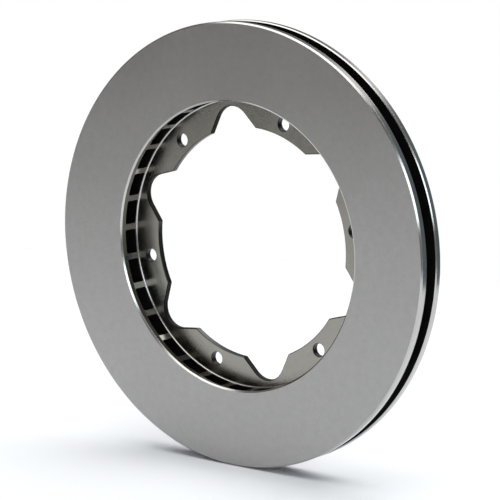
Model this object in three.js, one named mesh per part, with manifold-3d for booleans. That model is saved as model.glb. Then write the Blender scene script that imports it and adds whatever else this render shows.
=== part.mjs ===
// Vented cast-iron brake rotor ring with a scalloped six-lug mounting flange.
// Two flat friction rings are held apart by thirty straight radial vanes. A thin flange runs inwards
// from the inboard ring and ends in six lugs, which bolt to a separate hat or hub adapter.
//
// Every piece is drawn with the rotor's axis along local +Z and the outboard side up. The last group
// stands the rotor on its rim: the axis lies along Y and the outboard face looks towards -Y.
// Lengths are in millimetres and angles in degrees.
import * as THREE from "three";
import { mergeVertices } from "three/addons/utils/BufferGeometryUtils.js";
import Module from "manifold-3d";

// Friction rings
const OUTER_DIAMETER = 273;
const BORE_DIAMETER = 177.4; // of the outboard ring, at its friction face
const ROOT_DIAMETER = 179.3; // bore of the inboard ring and of the vanes; the outboard ring flares to it
const THICKNESS = 20.6; // over both friction faces
const RING_THICKNESS = 5.4; // of each friction ring
const RIM_CHAMFER = 1; // at the rim of the outboard friction face
const INBOARD_RIM_CHAMFER = 1.5; // at the rim of the inboard friction face
const BORE_CHAMFER = 1; // at the bore of the outboard friction face
const VENT_EDGE_CHAMFER = 0.65; // at the rim, on each side of the vent gap

// Vanes
const VANE_COUNT = 30;
const VANE_WIDTH = 3.9;
const VANE_RECESS = 9; // the vanes' outer ends lie this far inside the rim

// Mounting flange
const FLANGE_THICKNESS = 4.4; // its back is flush with the inboard friction face
const FLANGE_CORNER = 0.9; // leg of the sloping corner between the bore wall and the flange face
const FLANGE_ROOT_DIAMETER = 166; // the lugs grow inwards from this circle
const LUG_COUNT = 6;
const LUG_INNER_DIAMETER = 143.2;
const LUG_HALF_ANGLE = 16;
const LUG_PHASE = 10.5; // from +X to the middle of the first lug; a vane stands at the same angle
const SCALLOP_RADIUS = 12.7; // of the round cut-out between two lugs
const SCALLOP_CENTRE_DIAMETER = 144.2;
const BOLT_CIRCLE_DIAMETER = 158.75;
const BOLT_PHASE = 11.25; // from +X to the first hole: the holes are drilled just past the lugs' middles
const BOLT_HOLE_DIAMETER = 8.3;

// Faceting
const RING_SEGMENTS = 120;
const SCALLOP_SEGMENTS = 14;
const HOLE_SEGMENTS = 24;
const VANE_END_SEGMENTS = 6;
const OVERCUT = 2; // how far a cutter runs past the faces that it cuts

// Levels along the axis, from the middle of the thickness
const OUTBOARD_FACE = THICKNESS / 2;
const INBOARD_FACE = -THICKNESS / 2;
const VENT_TOP = OUTBOARD_FACE - RING_THICKNESS;
const VENT_BOTTOM = INBOARD_FACE + RING_THICKNESS;
const FLANGE_FACE = INBOARD_FACE + FLANGE_THICKNESS;

// Radii
const RIM = OUTER_DIAMETER / 2;
const BORE = BORE_DIAMETER / 2;
const ROOT = ROOT_DIAMETER / 2;
const FLANGE_ROOT = FLANGE_ROOT_DIAMETER / 2;
const LUG_INNER = LUG_INNER_DIAMETER / 2;
const SCALLOP_CENTRE = SCALLOP_CENTRE_DIAMETER / 2;

const degrees = THREE.MathUtils.degToRad;
const lugPitch = degrees(360 / LUG_COUNT);
const vanePitch = degrees(360 / VANE_COUNT);
const firstLug = degrees(LUG_PHASE);
const firstBolt = degrees(BOLT_PHASE);

const wasm = await Module();
wasm.setup();

const groundIron = new THREE.MeshStandardMaterial({
  name: "ground_iron",
  color: 0x8b8d8f,
  roughness: 0.42,
  metalness: 0.9,
});
const machinedIron = new THREE.MeshStandardMaterial({
  name: "machined_iron",
  color: 0x77736c,
  roughness: 0.36,
  metalness: 0.9,
});
const rawIron = new THREE.MeshStandardMaterial({
  name: "raw_iron",
  color: 0x55534f,
  roughness: 0.7,
  metalness: 0.7,
});

// A solid of revolution about local Z. The profile is a closed list of [radius, level] corners, and
// half a facet of turn puts a flat facet of the rim at the bottom, where the standing rotor rests.
function turned(profile) {
  const points = [...profile, profile[0]].map(([radius, level]) => new THREE.Vector2(radius, level));
  const halfFacet = Math.PI / RING_SEGMENTS;
  return new THREE.LatheGeometry(points, RING_SEGMENTS, halfFacet).rotateX(Math.PI / 2);
}

// An outline extruded along local Z from one level to another.
function extruded(outline, from, to) {
  const depth = to - from;
  const options = { depth, bevelEnabled: false, curveSegments: VANE_END_SEGMENTS };
  return new THREE.ExtrudeGeometry(outline, options).translate(0, 0, from);
}

// A closed geometry as a solid that can be cut and joined.
function solidOf(geometry) {
  const bare = geometry.clone();
  bare.deleteAttribute("normal");
  bare.deleteAttribute("uv");
  const merged = mergeVertices(bare, 1e-4);
  return new wasm.Manifold(
    new wasm.Mesh({
      numProp: 3,
      vertProperties: merged.attributes.position.array,
      triVerts: new Uint32Array(merged.index.array),
    }),
  );
}

// A cut solid as a geometry again.
function geometryOf(solid) {
  const cut = solid.getMesh();
  const geometry = new THREE.BufferGeometry();
  geometry.setAttribute("position", new THREE.BufferAttribute(cut.vertProperties, 3));
  geometry.setIndex(new THREE.BufferAttribute(cut.triVerts, 1));
  geometry.computeVertexNormals();
  return geometry;
}

function piece(name, geometry, material) {
  const mesh = new THREE.Mesh(geometry, material.clone());
  mesh.name = name;
  return mesh;
}

function numbered(name, index) {
  return `${name}_${String(index + 1).padStart(2, "0")}`;
}

function outboardRing() {
  return turned([
    [ROOT, VENT_TOP],
    [RIM - VENT_EDGE_CHAMFER, VENT_TOP],
    [RIM, VENT_TOP + VENT_EDGE_CHAMFER],
    [RIM, OUTBOARD_FACE - RIM_CHAMFER],
    [RIM - RIM_CHAMFER, OUTBOARD_FACE],
    [BORE + BORE_CHAMFER, OUTBOARD_FACE],
    [BORE, OUTBOARD_FACE - BORE_CHAMFER],
  ]);
}

function inboardRing() {
  return turned([
    [ROOT, INBOARD_FACE],
    [RIM - INBOARD_RIM_CHAMFER, INBOARD_FACE],
    [RIM, INBOARD_FACE + INBOARD_RIM_CHAMFER],
    [RIM, VENT_BOTTOM - VENT_EDGE_CHAMFER],
    [RIM - VENT_EDGE_CHAMFER, VENT_BOTTOM],
    [ROOT, VENT_BOTTOM],
  ]);
}

// A straight radial vane along +X: flat at the bore, rounded at its outer end.
function vane() {
  const half = VANE_WIDTH / 2;
  const noseCentre = RIM - VANE_RECESS - half;
  const outline = new THREE.Shape();
  outline.moveTo(ROOT, -half);
  outline.lineTo(noseCentre, -half);
  outline.absarc(noseCentre, 0, half, -Math.PI / 2, Math.PI / 2, false);
  outline.lineTo(ROOT, half);
  outline.closePath();
  return extruded(outline, VENT_BOTTOM, VENT_TOP);
}

// The cut-out between two lugs, drawn with its middle along +X: a round end, and straight flanks
// that run on from it at a tangent through the corners of the lugs.
function scallopCutter() {
  const cornerAngle = lugPitch / 2 - degrees(LUG_HALF_ANGLE);
  const corner = new THREE.Vector2(Math.cos(cornerAngle), Math.sin(cornerAngle)).multiplyScalar(LUG_INNER);
  const toCentre = new THREE.Vector2(SCALLOP_CENTRE, 0).sub(corner);
  const turn = Math.asin(SCALLOP_RADIUS / toCentre.length());
  const flank = toCentre.angle() + turn;
  const flankDirection = new THREE.Vector2(Math.cos(flank), Math.sin(flank));
  const inner = corner.clone().addScaledVector(flankDirection, -OVERCUT);
  const roundEnd = flank - Math.PI * 1.5;

  const outline = new THREE.Shape();
  outline.moveTo(inner.x, inner.y);
  outline.lineTo(inner.x, -inner.y);
  for (let i = 0; i <= SCALLOP_SEGMENTS; i += 1) {
    const angle = roundEnd * ((2 * i) / SCALLOP_SEGMENTS - 1);
    outline.lineTo(
      SCALLOP_CENTRE + SCALLOP_RADIUS * Math.cos(angle),
      SCALLOP_RADIUS * Math.sin(angle),
    );
  }
  outline.closePath();
  return extruded(outline, INBOARD_FACE - OVERCUT, FLANGE_FACE + OVERCUT);
}

function boltHoleCutter() {
  const length = FLANGE_THICKNESS + 2 * OVERCUT;
  const radius = BOLT_HOLE_DIAMETER / 2;
  return new THREE.CylinderGeometry(radius, radius, length, HOLE_SEGMENTS)
    .rotateX(Math.PI / 2)
    .translate(BOLT_CIRCLE_DIAMETER / 2, 0, (INBOARD_FACE + FLANGE_FACE) / 2);
}

// The flange is turned as one plate, scalloped and drilled, then parted at the root circle into
// the flange ring and the six lugs.
function flangePieces() {
  let flange = solidOf(
    turned([
      [LUG_INNER, INBOARD_FACE],
      [ROOT, INBOARD_FACE],
      [ROOT, FLANGE_FACE + FLANGE_CORNER],
      [ROOT - FLANGE_CORNER, FLANGE_FACE],
      [LUG_INNER, FLANGE_FACE],
    ]),
  );
  for (let i = 0; i < LUG_COUNT; i += 1) {
    const lugAngle = firstLug + i * lugPitch;
    const boltAngle = firstBolt + i * lugPitch;
    flange = flange.subtract(solidOf(scallopCutter().rotateZ(lugAngle + lugPitch / 2)));
    flange = flange.subtract(solidOf(boltHoleCutter().rotateZ(boltAngle)));
  }
  const rootCutter = solidOf(
    turned([
      [LUG_INNER - OVERCUT, INBOARD_FACE - OVERCUT],
      [FLANGE_ROOT, INBOARD_FACE - OVERCUT],
      [FLANGE_ROOT, FLANGE_FACE + OVERCUT],
      [LUG_INNER - OVERCUT, FLANGE_FACE + OVERCUT],
    ]),
  );
  const ring = piece("flange_ring", geometryOf(flange.subtract(rootCutter)), machinedIron);
  const lugs = flange
    .intersect(rootCutter)
    .decompose()
    .map((lug) => ({ lug, index: lugIndex(lug) }))
    .sort((a, b) => a.index - b.index)
    .map(({ lug, index }) => piece(numbered("mounting_lug", index), geometryOf(lug), machinedIron));
  return [ring, ...lugs];
}

// Which lug a cut solid is, counted anticlockwise from the first.
function lugIndex(lug) {
  const box = lug.boundingBox();
  const angle = Math.atan2(box.min[1] + box.max[1], box.min[0] + box.max[0]);
  return (Math.round((angle - firstLug) / lugPitch) + LUG_COUNT) % LUG_COUNT;
}

const rotor = new THREE.Group();
rotor.add(piece("outboard_friction_ring", outboardRing(), groundIron));
rotor.add(piece("inboard_friction_ring", inboardRing(), groundIron));
rotor.add(...flangePieces());
for (let i = 0; i < VANE_COUNT; i += 1) {
  const mesh = piece(numbered("vane", i), vane(), rawIron);
  mesh.rotation.z = firstLug + i * vanePitch;
  rotor.add(mesh);
}
rotor.rotation.x = Math.PI / 2;

export default new THREE.Group().add(rotor);
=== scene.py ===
"""A vented cast-iron brake rotor ring with a scalloped six-lug flange, standing on its rim.

Lengths are in metres. The rotor's axis is the Y axis, its outboard face looks towards -Y and +Z is up.
Angles round the axis start at +X and turn towards +Z.
"""

import math

import bpy
from mathutils import Matrix, Vector
from mathutils.geometry import tessellate_polygon


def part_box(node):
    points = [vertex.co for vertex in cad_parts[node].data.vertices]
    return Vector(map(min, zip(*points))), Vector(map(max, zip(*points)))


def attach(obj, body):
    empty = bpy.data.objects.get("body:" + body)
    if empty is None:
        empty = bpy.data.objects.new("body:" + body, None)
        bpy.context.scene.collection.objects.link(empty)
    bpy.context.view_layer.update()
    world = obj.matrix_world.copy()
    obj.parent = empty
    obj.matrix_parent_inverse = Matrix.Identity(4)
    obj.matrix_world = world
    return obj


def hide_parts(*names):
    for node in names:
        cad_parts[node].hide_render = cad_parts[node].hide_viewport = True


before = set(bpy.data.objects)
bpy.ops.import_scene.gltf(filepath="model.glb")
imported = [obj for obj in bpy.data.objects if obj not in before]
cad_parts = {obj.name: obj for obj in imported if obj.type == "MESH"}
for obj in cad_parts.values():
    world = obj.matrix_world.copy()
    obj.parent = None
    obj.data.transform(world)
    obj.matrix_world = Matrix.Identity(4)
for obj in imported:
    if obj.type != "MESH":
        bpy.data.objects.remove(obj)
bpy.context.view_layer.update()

MM = 0.001

# Shapes shared with the CAD model
CAD_FACETS = 120  # sides of its round surfaces
VANE_COUNT = 30
VANE_WIDTH = 3.9 * MM
VANE_RECESS = 9 * MM  # of the vanes' outer ends, inside the rim
LUG_COUNT = 6
LUG_PHASE = math.radians(10.5)
LUG_HALF_ANGLE = math.radians(16)
LUG_INNER = 71.6 * MM
SCALLOP_RADIUS = 12.7 * MM
SCALLOP_CENTRE = 72.1 * MM
BOLT_CIRCLE = 158.75 / 2 * MM
BOLT_PHASE = math.radians(11.25)
BOLT_HOLE = 8.3 / 2 * MM
BORE = 88.7 * MM  # of the outboard ring, at its friction face
RIM_CHAMFER = 1.0 * MM
INBOARD_RIM_CHAMFER = 1.5 * MM
BORE_CHAMFER = 1.0 * MM
VENT_EDGE_CHAMFER = 0.65 * MM

# Fine edges that only the visual model has
EDGE = 0.12 * MM  # rounding of a turned or ground edge
CRISP_EDGE = 0.04 * MM  # where a bored wall meets the as-cast walls of the vent gap
LUG_FRONT_EDGE = 0.5 * MM  # rounding along the outboard face of the lugs
LUG_BACK_EDGE = 1.2 * MM  # and along their inboard face
LUG_CORNER = 0.8 * MM  # rounding of the lugs' corners, seen along the axis
HOLE_EDGE = 0.3 * MM
VANE_FILLET = 1.0 * MM  # where a vane grows out of a plate
FILLET_SWEEP = math.radians(80)  # how far round the fillet is drawn
NOSE_ROUND = 0.999  # share of a vane's half width that rounds its far end
SINK = 0.1 * MM  # how far a piece runs into the one that it grows from

RING_SEGMENTS = 480
HOLE_SEGMENTS = 64
EDGE_STEPS = 5  # sides of a rounded edge
ARC_STEP = math.radians(3)  # turn of one side of a wider arc


def full_radius(node):
    """The true radius of a faceted round node."""
    low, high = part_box(node)
    return (high[0] - low[0]) / 2 / math.cos(math.pi / CAD_FACETS)


def levels(node):
    """Where a node starts and ends along the axis."""
    low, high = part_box(node)
    return low[1], high[1]


RIM = full_radius("outboard_friction_ring")
ROOT = full_radius("flange_ring")  # bore of the vanes and the inboard ring; the outboard ring flares to it
OUTBOARD_FACE, VENT_FRONT = levels("outboard_friction_ring")
VENT_BACK, INBOARD_FACE = levels("inboard_friction_ring")
FLANGE_FACE, FLANGE_BACK = levels("mounting_lug_01")
FLANGE_CORNER = FLANGE_FACE - levels("flange_ring")[0]


# ---------------------------------------------------------------- materials

class Nodes:
    """Builds a node tree, node by node."""

    def __init__(self, tree):
        self.tree = tree
        self.tree.nodes.clear()

    def node(self, kind, **settings):
        made = self.tree.nodes.new(kind)
        for key, value in settings.items():
            setattr(made, key, value)
        return made

    def link(self, output, socket):
        self.tree.links.new(output, socket)

    def feed(self, socket, value):
        """Gives a socket a colour, a number or the output of another node."""
        if isinstance(value, tuple):
            socket.default_value = (*value, 1)
        elif isinstance(value, (int, float)):
            socket.default_value = value
        else:
            self.link(value, socket)

    def math(self, operation, first, second):
        made = self.node("ShaderNodeMath", operation=operation)
        for socket, value in zip(made.inputs, (first, second)):
            self.feed(socket, value)
        return made.outputs["Value"]

    def blend(self, share, first, second):
        """Mixes two colours: the first where share is zero, the second where it is one."""
        made = self.node("ShaderNodeMix", data_type="RGBA")
        sockets = [socket for socket in made.inputs if socket.enabled]
        for socket, value in zip(sockets, (share, first, second)):
            self.feed(socket, value)
        return next(socket for socket in made.outputs if socket.enabled)

    def fade(self, value, start, end):
        """Zero up to start and one from end, with a soft step between them."""
        made = self.node("ShaderNodeMapRange", interpolation_type="SMOOTHSTEP")
        made.inputs["From Min"].default_value = start
        made.inputs["From Max"].default_value = end
        self.link(value, made.inputs["Value"])
        return made.outputs["Result"]


class Finish(Nodes):
    """The material of a surface. Its patterns are laid out in object space, in metres."""

    def __init__(self, name):
        self.material = bpy.data.materials.new(name)
        self.material.use_nodes = True
        super().__init__(self.material.node_tree)
        self.shader = self.node("ShaderNodeBsdfPrincipled")
        output = self.node("ShaderNodeOutputMaterial")
        self.link(self.shader.outputs["BSDF"], output.inputs["Surface"])
        self.place = self.node("ShaderNodeTexCoord").outputs["Object"]
        self.normal = None

    def noise(self, size, detail=2, place=None, roughness=0.5):
        """Soft noise whose features are about size metres across."""
        made = self.node("ShaderNodeTexNoise")
        made.inputs["Scale"].default_value = 1 / size
        made.inputs["Detail"].default_value = detail
        made.inputs["Roughness"].default_value = roughness
        self.link(place or self.place, made.inputs["Vector"])
        return made.outputs["Fac"]

    def stretched(self, turn, length):
        """Object space turned about the axis and squeezed, so that noise makes scratches along one way."""
        made = self.node("ShaderNodeMapping")
        made.inputs["Rotation"].default_value = (0, turn, 0)
        made.inputs["Scale"].default_value = (1 / length, 1, 1)
        self.link(self.place, made.inputs["Vector"])
        return made.outputs["Vector"]

    def along_profile(self):
        """The distance from the axis plus the level, which is constant along a turning mark."""
        parts = self.node("ShaderNodeSeparateXYZ")
        self.link(self.place, parts.inputs["Vector"])
        flat = self.node("ShaderNodeCombineXYZ")
        self.link(parts.outputs["X"], flat.inputs["X"])
        self.link(parts.outputs["Z"], flat.inputs["Z"])
        radius = self.node("ShaderNodeVectorMath", operation="LENGTH")
        self.link(flat.outputs["Vector"], radius.inputs[0])
        total = self.math("ADD", radius.outputs["Value"], parts.outputs["Y"])
        line = self.node("ShaderNodeCombineXYZ")
        self.link(total, line.inputs["X"])
        return line.outputs["Vector"]

    def span(self, value, low, high, start=0.3, end=0.7):
        """Noise from start to end spread over low to high."""
        made = self.node("ShaderNodeMapRange")
        made.inputs["From Min"].default_value = start
        made.inputs["From Max"].default_value = end
        made.inputs["To Min"].default_value = low
        made.inputs["To Max"].default_value = high
        self.link(value, made.inputs["Value"])
        return made.outputs["Result"]

    def bump(self, height, depth):
        """Raises the surface by up to depth metres where height is one."""
        made = self.node("ShaderNodeBump")
        made.inputs["Strength"].default_value = 1
        made.inputs["Distance"].default_value = depth
        self.link(height, made.inputs["Height"])
        if self.normal:
            self.link(self.normal, made.inputs["Normal"])
        self.normal = made.outputs["Normal"]

    def finish(self, colour, roughness, metallic=1.0):
        self.shader.inputs["Metallic"].default_value = metallic
        self.link(colour, self.shader.inputs["Base Color"])
        self.link(roughness, self.shader.inputs["Roughness"])
        if self.normal:
            self.link(self.normal, self.shader.inputs["Normal"])
        return self.material


GRINDING_WAYS = (18, 78, 141)  # degrees round the axis
SCRATCH_WIDTH = 0.16 * MM
SCRATCH_STRETCH = 26  # length of a scratch over its width
SCRATCH_DEPTH = 0.004 * MM
SPECK_SIZE = 0.5 * MM
SPECK_DEPTH = 0.006 * MM


def ground_iron():
    """Friction face: ground in crossing passes, satin, mottled, with faint graphite specks."""
    f = Finish("ground_iron")
    cloud = f.noise(60 * MM, detail=3)
    mottle = f.noise(5 * MM, detail=4, roughness=0.6)
    speck = f.noise(SPECK_SIZE, detail=2)
    colour = f.blend(f.span(cloud, 0, 1), (0.41, 0.401, 0.39), (0.445, 0.436, 0.427))
    colour = f.blend(f.span(mottle, 0, 0.5), colour, (0.35, 0.345, 0.345))
    colour = f.blend(f.span(speck, 0.0, 0.35, 0.55, 0.75), colour, (0.3, 0.3, 0.3))
    scratches = [
        f.noise(SCRATCH_WIDTH, place=f.stretched(math.radians(turn), SCRATCH_STRETCH))
        for turn in GRINDING_WAYS
    ]
    marks = f.math("ADD", f.math("ADD", scratches[0], scratches[1]), scratches[2])
    f.bump(marks, SCRATCH_DEPTH)
    f.bump(speck, SPECK_DEPTH)
    rough = f.math("ADD", f.span(cloud, 0.36, 0.4), f.span(marks, -0.03, 0.03, 1.2, 1.8))
    return f.finish(colour, rough)


def turned_iron(name, dark, light, smooth, rough, groove=0.004 * MM):
    """A lathe-cut surface: fine rings of uneven spacing round the axis."""
    f = Finish(name)
    cloud = f.noise(35 * MM, detail=3)
    rings = f.noise(0.35 * MM, 3, f.along_profile())
    colour = f.blend(f.span(cloud, 0, 1), dark, light)
    colour = f.blend(f.span(rings, 0, 0.25), colour, dark)
    f.bump(rings, groove)
    return f.finish(colour, f.math("ADD", f.span(cloud, smooth, rough), f.span(rings, -0.02, 0.02)))


def raw_iron():
    """As-cast skin: dark, blasted, with a sand-grain surface and faint clouds."""
    f = Finish("raw_cast_iron")
    cloud = f.noise(14 * MM, detail=4)
    grain = f.noise(0.8 * MM, detail=4, roughness=0.6)
    colour = f.blend(f.span(cloud, 0, 1), (0.016, 0.015, 0.0145), (0.03, 0.028, 0.026))
    colour = f.blend(f.span(grain, 0, 0.5), colour, (0.012, 0.0115, 0.011))
    f.bump(f.noise(4 * MM, detail=2), 0.12 * MM)
    f.bump(grain, 0.08 * MM)
    return f.finish(colour, f.span(grain, 0.5, 0.68))


GROUND, TURNED, RAW, FLANGE, BORED, HOLE_SHADE, LUG_NOSE_SHADE = range(7)  # places in the list of finishes
finishes = [
    ground_iron(),
    turned_iron("turned_iron", (0.45, 0.44, 0.425), (0.53, 0.522, 0.51), 0.15, 0.2),
    raw_iron(),
    turned_iron("flange_face_iron", (0.285, 0.273, 0.242), (0.355, 0.342, 0.31), 0.24, 0.31, 0.003 * MM),
    turned_iron("bored_iron", (0.24, 0.235, 0.218), (0.3, 0.294, 0.275), 0.17, 0.22),
    # Bolt-hole walls: this near-black base colour is painted shade inside the holes, not the drilled
    # metal's own colour.
    turned_iron("drilled_iron_painted_shade", (0.02, 0.02, 0.019), (0.04, 0.04, 0.038), 0.3, 0.38),
    # Lugs' inner arcs: this near-black base colour is painted shade on the machined iron; their glossy
    # highlight comes from the key light.
    turned_iron("lug_nose_iron_painted_shade", (0.06, 0.06, 0.058), (0.09, 0.09, 0.087), 0.16, 0.22),
]


# ---------------------------------------------------------------- outlines and meshes

def rounded_outline(corners, arc_steps=None):
    """A closed outline as (point, outward normal, finish) rows, from (x, y, radius, finish) corners.

    The corners run anticlockwise, and each gives the finish of the side that follows it. A corner
    of no radius keeps one point, whose normal lies half way between those of its sides.
    """
    rows = []
    for i, (x, y, radius, finish) in enumerate(corners):
        here = Vector((x, y))
        arriving = (here - Vector(corners[i - 1][:2])).normalized()
        leaving = (Vector(corners[(i + 1) % len(corners)][:2]) - here).normalized()
        turn = math.atan2(arriving.x * leaving.y - arriving.y * leaving.x, arriving.dot(leaving))
        if radius == 0:
            middle = (arriving + leaving).normalized()
            rows.append((here, Vector((middle.y, -middle.x)), finish))
            continue
        side = math.copysign(1, turn)
        start = here - arriving * radius * math.tan(abs(turn) / 2)
        centre = start + Vector((-arriving.y, arriving.x)) * radius * side
        steps = arc_steps or max(EDGE_STEPS, math.ceil(abs(turn) / ARC_STEP) if radius > MM else 0)
        for k in range(steps + 1):
            normal = Matrix.Rotation(turn * k / steps, 2) @ Vector((arriving.y, -arriving.x))
            rows.append((centre + normal * radius * side, normal, finish))
    return rows


class Shell:
    """Collects points with exact normals and turns them into one smooth closed mesh."""

    def __init__(self):
        self.points = []
        self.normals = []
        self.faces = []
        self.finishes = []

    def ring(self, points, normals):
        first = len(self.points)
        self.points.extend(points)
        self.normals.extend(normals)
        return list(range(first, len(self.points)))

    def face(self, corners, finish, outward=None):
        """Adds a face, turned so that it looks the way that its points' normals do."""
        a, b, c = (self.points[i] for i in corners[:3])
        if outward is None:
            outward = sum((self.normals[i] for i in corners), Vector())
        if (b - a).cross(c - b).dot(outward) < 0:
            corners = corners[::-1]
        self.faces.append(corners)
        self.finishes.append(finish)

    def strip(self, one, other, finish):
        """Joins two rings. The finish is one index, or one for each side of the ring."""
        for j in range(len(one)):
            k = (j + 1) % len(one)
            own = finish if isinstance(finish, int) else finish[j]
            self.face([one[j], other[j], other[k], one[k]], own)

    def cap(self, loops, finish, outward):
        """Fills a flat face whose first loop is its rim and whose others are its holes."""
        flat = [[Vector((self.points[i].x, self.points[i].z, 0)) for i in loop] for loop in loops]
        index = [i for loop in loops for i in loop]
        for triangle in tessellate_polygon(flat):
            self.face([index[k] for k in triangle], finish, outward)

    def piece(self, name, used):
        """Makes the mesh, with only the used finishes on it, and puts it on the rotor's body."""
        mesh = bpy.data.meshes.new(name)
        mesh.from_pydata(self.points, [], self.faces)
        for index in used:
            mesh.materials.append(finishes[index])
        slots = [used.index(finish) for finish in self.finishes]
        mesh.polygons.foreach_set("material_index", slots)
        mesh.polygons.foreach_set("use_smooth", [True] * len(self.faces))
        mesh.normals_split_custom_set_from_vertices([n.normalized() for n in self.normals])
        mesh.validate(clean_customdata=False)
        made = bpy.data.objects.new(name, mesh)
        bpy.context.scene.collection.objects.link(made)
        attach(made, "root")
        return made


def around(radius, level, angle):
    return Vector((radius * math.cos(angle), level, radius * math.sin(angle)))


def circle(segments):
    return [2 * math.pi * j / segments for j in range(segments)]


def revolve(shell, rows, closed=True):
    """Turns an outline of (radius, level) rows about the axis. Returns its first and last rings."""
    angles = circle(RING_SEGMENTS)
    rings = [
        shell.ring(
            [around(point.x, point.y, a) for a in angles],
            [around(normal.x, normal.y, a) for a in angles],
        )
        for point, normal, _ in rows
    ]
    for i in range(len(rows) if closed else len(rows) - 1):
        shell.strip(rings[i], rings[(i + 1) % len(rings)], rows[i][2])
    return rings[0], rings[-1]


def wall(shell, outline, front_edge, back_edge, finish):
    """Runs a wall of the flange along an outline, rounded at both faces. Returns its end rings."""
    steps = [math.pi / 2 * k / EDGE_STEPS for k in range(EDGE_STEPS + 1)]
    section = []
    for a in steps:
        flat, up = math.sin(a), math.cos(a)
        section.append((front_edge * (1 - flat), FLANGE_FACE + front_edge * (1 - up), flat, -up))
    for a in reversed(steps):
        flat, up = math.sin(a), math.cos(a)
        section.append((back_edge * (1 - flat), FLANGE_BACK - back_edge * (1 - up), flat, up))
    rings = []
    for inset, level, flat, up in section:
        points = [p - n * inset for p, n in outline]
        rings.append(
            shell.ring(
                [Vector((p.x, level, p.y)) for p in points],
                [Vector((n.x * flat, up, n.y * flat)) for _, n in outline],
            )
        )
    for one, other in zip(rings, rings[1:]):
        shell.strip(one, other, finish)
    return rings[0], rings[-1]


# ---------------------------------------------------------------- pieces

def outboard_ring():
    shell = Shell()
    revolve(shell, rounded_outline([
        (BORE + BORE_CHAMFER, OUTBOARD_FACE, EDGE, GROUND),
        (RIM - RIM_CHAMFER, OUTBOARD_FACE, EDGE, TURNED),
        (RIM, OUTBOARD_FACE + RIM_CHAMFER, EDGE, TURNED),
        (RIM, VENT_FRONT - VENT_EDGE_CHAMFER, EDGE, TURNED),
        (RIM - VENT_EDGE_CHAMFER, VENT_FRONT, EDGE, RAW),
        (ROOT, VENT_FRONT, CRISP_EDGE, BORED),
        (BORE, OUTBOARD_FACE + BORE_CHAMFER, EDGE, TURNED),
    ]))
    piece = shell.piece("outboard_ring", [GROUND, TURNED, RAW, BORED])
    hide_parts("outboard_friction_ring")


def inboard_ring():
    shell = Shell()
    revolve(shell, rounded_outline([
        (ROOT, INBOARD_FACE, EDGE, BORED),
        (ROOT, VENT_BACK, CRISP_EDGE, RAW),
        (RIM - VENT_EDGE_CHAMFER, VENT_BACK, EDGE, TURNED),
        (RIM, VENT_BACK + VENT_EDGE_CHAMFER, EDGE, TURNED),
        (RIM, INBOARD_FACE - INBOARD_RIM_CHAMFER, EDGE, TURNED),
        (RIM - INBOARD_RIM_CHAMFER, INBOARD_FACE, EDGE, GROUND),
    ]))
    piece = shell.piece("inboard_ring", [GROUND, TURNED, RAW, BORED])
    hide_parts("inboard_friction_ring")


def scalloped_outline():
    """The inner outline of the flange, anticlockwise, as (x, z, radius, finish) corners."""
    pitch = 2 * math.pi / LUG_COUNT
    corner_angle = pitch / 2 - LUG_HALF_ANGLE
    corner = Vector((math.cos(corner_angle), math.sin(corner_angle))) * LUG_INNER
    to_centre = Vector((SCALLOP_CENTRE, 0)) - corner
    flank = math.atan2(to_centre.y, to_centre.x) + math.asin(SCALLOP_RADIUS / to_centre.length)
    apex = corner.x - corner.y / math.tan(flank)
    corners = []
    for i in range(LUG_COUNT):
        lug = LUG_PHASE + i * pitch
        steps = round(2 * LUG_HALF_ANGLE / ARC_STEP)
        for k in range(steps + 1):
            angle = lug + LUG_HALF_ANGLE * (2 * k / steps - 1)
            at_corner = k in (0, steps)
            # the lugs' inner arcs get the near-black finish of painted shade, the scallops the as-cast one
            finish = RAW if k == steps else LUG_NOSE_SHADE
            radius = LUG_CORNER if at_corner else 0
            corners.append((LUG_INNER * math.cos(angle), LUG_INNER * math.sin(angle), radius, finish))
        middle = lug + pitch / 2
        corners.append((apex * math.cos(middle), apex * math.sin(middle), SCALLOP_RADIUS, RAW))
    return corners


def mounting_flange():
    shell = Shell()
    corner_steps = [math.pi / 2 * k / (2 * EDGE_STEPS) for k in range(2 * EDGE_STEPS + 1)]
    centre = Vector((ROOT - FLANGE_CORNER, FLANGE_FACE - FLANGE_CORNER))
    corner = [Vector((math.sin(a), math.cos(a))) for a in corner_steps]
    rows = [(centre + way * FLANGE_CORNER, -way, TURNED) for way in corner]
    rows.append((Vector((ROOT + SINK, FLANGE_FACE - FLANGE_CORNER)), Vector((0.7, -0.7)), TURNED))
    rows.append((Vector((ROOT + SINK, FLANGE_BACK)), Vector((0, 1)), TURNED))
    front_rim, back_rim = revolve(shell, rows, closed=False)

    rows = rounded_outline(scalloped_outline())
    outline = [(point, -normal) for point, normal, _ in rows]
    front_inner, back_inner = wall(shell, outline, LUG_FRONT_EDGE, LUG_BACK_EDGE, [row[2] for row in rows])
    front_loops = [front_rim, front_inner]
    back_loops = [back_rim, back_inner]
    for i in range(LUG_COUNT):
        angle = BOLT_PHASE + 2 * math.pi * i / LUG_COUNT
        middle = Vector((math.cos(angle), math.sin(angle))) * BOLT_CIRCLE
        ways = [Vector((math.cos(a), math.sin(a))) for a in circle(HOLE_SEGMENTS)]
        hole = [(middle + way * BOLT_HOLE, -way) for way in ways]
        # the hole walls take the near-black finish, which is painted shade
        front_hole, back_hole = wall(shell, hole, HOLE_EDGE, HOLE_EDGE, HOLE_SHADE)
        front_loops.append(front_hole)
        back_loops.append(back_hole)
    shell.cap(front_loops, FLANGE, Vector((0, -1, 0)))
    shell.cap(back_loops, FLANGE, Vector((0, 1, 0)))
    piece = shell.piece("mounting_flange", [FLANGE, TURNED, RAW, HOLE_SHADE, LUG_NOSE_SHADE])
    lugs = [f"mounting_lug_{i + 1:02d}" for i in range(LUG_COUNT)]
    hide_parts("flange_ring", *lugs)


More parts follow.
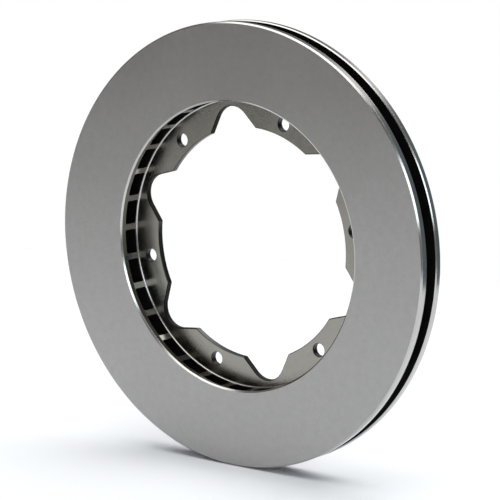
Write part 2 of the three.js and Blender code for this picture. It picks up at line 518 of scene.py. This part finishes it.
def vane(index):
    """A cast vane with a fillet at each plate, cut off flush with the bore and rounded at its far end."""
    shell = Shell()
    spin = Matrix.Rotation(LUG_PHASE + 2 * math.pi * index / VANE_COUNT, 2)
    half = VANE_WIDTH / 2
    nose = RIM - VANE_RECESS - half
    flare = []
    for k in range(EDGE_STEPS + 1):
        angle = FILLET_SWEEP * k / EDGE_STEPS
        flat, up = math.cos(angle), math.sin(angle)
        flare.append((VANE_FILLET * (1 - flat), VANE_FILLET * (1 - up), flat, up))
    flare.append((VANE_FILLET, -SINK, *flare[-1][2:]))
    section = [(wider, VENT_FRONT + height, flat, up) for wider, height, flat, up in reversed(flare)]
    section += [(wider, VENT_BACK - height, flat, -up) for wider, height, flat, up in flare]
    rings = []
    for wider, level, flat, up in section:
        side = half + wider
        rows = rounded_outline([
            (ROOT, -side, EDGE, RAW),
            (nose + side, -side, side * NOSE_ROUND, RAW),
            (nose + side, side, side * NOSE_ROUND, RAW),
            (ROOT, side, EDGE, BORED),
        ], arc_steps=EDGE_STEPS + 1)
        points = []
        normals = []
        for point, normal, _ in rows:
            tilt = up * (1 - max(0.0, -normal.x))  # the flat end at the bore has no fillet
            place = spin @ point
            way = spin @ normal
            points.append(Vector((place.x, level, place.y)))
            normals.append(Vector((way.x * flat, tilt, way.y * flat)))
        rings.append(shell.ring(points, normals))
    finish = [row[2] for row in rows]
    for one, other in zip(rings, rings[1:]):
        shell.strip(one, other, finish)
    shell.face(rings[0], RAW, Vector((0, -1, 0)))
    shell.face(rings[-1], RAW, Vector((0, 1, 0)))
    piece = shell.piece(f"cooling_vane_{index + 1:02d}", [RAW, BORED])
    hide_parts(f"vane_{index + 1:02d}")


# ---------------------------------------------------------------- studio

FLOOR_RADIUS = 0.85
FLOOR_SHIFT = Vector((-0.19, -0.25, 0))  # the rotor stands nearer to the back right of the round floor
FLOOR_GAP = 0.1 * MM
FLOOR_SEGMENTS = 128
CAMERA_AZIMUTH = math.radians(37.17)
CAMERA_ELEVATION = math.radians(10.04)
CAMERA_DISTANCE = 1.5063
CAMERA_AIM_RIGHT = 3.87 * MM  # how far the camera looks past the rotor's centre
CAMERA_AIM_DOWN = 3.09 * MM
CAMERA_LENS = 177.96  # millimetres, on a sensor of the next width
CAMERA_SENSOR = 36
OVERHEAD_TILT = math.radians(10.5)  # of the overhead light, from straight up towards the back
OVERHEAD_SPREAD = math.radians(43.5)  # from its middle to its edge
OVERHEAD_BLUR = math.radians(3)  # half the width of its soft edge
OVERHEAD_COLOUR = (2.45, 2.43, 2.38)
FRONT_ROOM_COLOUR = (0.21, 0.203, 0.193)
BACK_ROOM_COLOUR = (0.14, 0.165, 0.19)  # the room is darker and bluer behind the rotor


def way_out(azimuth, elevation):
    """The direction from the rotor to a camera or a light. Azimuth is counted from -Y towards +X."""
    level = math.cos(elevation)
    return Vector((math.sin(azimuth) * level, -math.cos(azimuth) * level, math.sin(elevation)))


def camera():
    right = Vector((math.cos(CAMERA_AZIMUTH), math.sin(CAMERA_AZIMUTH), 0))
    back = way_out(CAMERA_AZIMUTH, CAMERA_ELEVATION)
    up = back.cross(right)
    data = bpy.data.cameras.new("camera")
    data.lens = CAMERA_LENS
    data.sensor_width = CAMERA_SENSOR
    made = bpy.data.objects.new("camera", data)
    bpy.context.scene.collection.objects.link(made)
    made.matrix_world = Matrix((right, up, back)).transposed().to_4x4()
    made.location = back * CAMERA_DISTANCE + right * CAMERA_AIM_RIGHT - up * CAMERA_AIM_DOWN
    bpy.context.scene.camera = made


def floor():
    """A round pale table top, with a fine matt grain."""
    mesh = bpy.data.meshes.new("studio_floor")
    middle = FLOOR_SHIFT + Vector((0, 0, -RIM - FLOOR_GAP))
    points = [middle + FLOOR_RADIUS * Vector((math.cos(a), math.sin(a), 0)) for a in circle(FLOOR_SEGMENTS)]
    mesh.from_pydata(points, [], [list(range(len(points)))])
    f = Finish("floor_white")
    tint = f.blend(f.noise(90 * MM), (0.845, 0.865, 0.905), (0.865, 0.885, 0.925))
    mesh.materials.append(f.finish(tint, f.span(f.noise(20 * MM), 0.7, 0.8), metallic=0.0))
    made = bpy.data.objects.new("studio_floor", mesh)
    bpy.context.scene.collection.objects.link(made)


def softbox(name, azimuth, elevation, distance, width, height, watts, colour):
    """A rectangular light that looks at the rotor from an azimuth and elevation in degrees."""
    data = bpy.data.lights.new(name, "AREA")
    data.shape = "RECTANGLE"
    data.size = width
    data.size_y = height
    data.energy = watts
    data.color = colour
    way = way_out(math.radians(azimuth), math.radians(elevation))
    made = bpy.data.objects.new(name, data)
    bpy.context.scene.collection.objects.link(made)
    made.location = way * distance
    made.rotation_mode = "QUATERNION"
    made.rotation_quaternion = way.to_track_quat("Z", "Y")
    made.visible_camera = False


def studio_sky():
    """A dim room with one broad overhead light, and plain white where the camera sees past the floor."""
    world = bpy.data.worlds.new("studio")
    bpy.context.scene.world = world
    world.use_nodes = True
    sky = Nodes(world.node_tree)
    way = sky.node("ShaderNodeTexCoord").outputs["Generated"]
    overhead = sky.node("ShaderNodeVectorMath", operation="DOT_PRODUCT")
    overhead.inputs[1].default_value = (0, math.sin(OVERHEAD_TILT), math.cos(OVERHEAD_TILT))
    sky.link(way, overhead.inputs[0])
    outer = math.cos(OVERHEAD_SPREAD + OVERHEAD_BLUR)
    inner = math.cos(OVERHEAD_SPREAD - OVERHEAD_BLUR)
    above = sky.fade(overhead.outputs["Value"], outer, inner)
    parts = sky.node("ShaderNodeSeparateXYZ")
    sky.link(way, parts.inputs["Vector"])
    room = sky.blend(sky.fade(parts.outputs["Y"], 0, 1), FRONT_ROOM_COLOUR, BACK_ROOM_COLOUR)
    lit = sky.node("ShaderNodeBackground")
    sky.link(sky.blend(above, room, OVERHEAD_COLOUR), lit.inputs["Color"])
    white = sky.node("ShaderNodeBackground")
    white.inputs["Color"].default_value = (1, 1, 1, 1)
    seen = sky.node("ShaderNodeMixShader")
    sky.link(sky.node("ShaderNodeLightPath").outputs["Is Camera Ray"], seen.inputs[0])
    sky.link(lit.outputs[0], seen.inputs[1])
    sky.link(white.outputs[0], seen.inputs[2])
    sky.link(seen.outputs[0], sky.node("ShaderNodeOutputWorld").inputs["Surface"])


camera()
floor()
studio_sky()
softbox(
    "key_softbox",
    azimuth=43,
    elevation=18.5,
    distance=1.5,
    width=0.96,
    height=0.6,
    watts=5.5,
    colour=(0.84, 0.95, 1),
)
bpy.context.scene.view_settings.view_transform = "Standard"

outboard_ring()
inboard_ring()
mounting_flange()
for vane_index in range(VANE_COUNT):
    vane(vane_index)
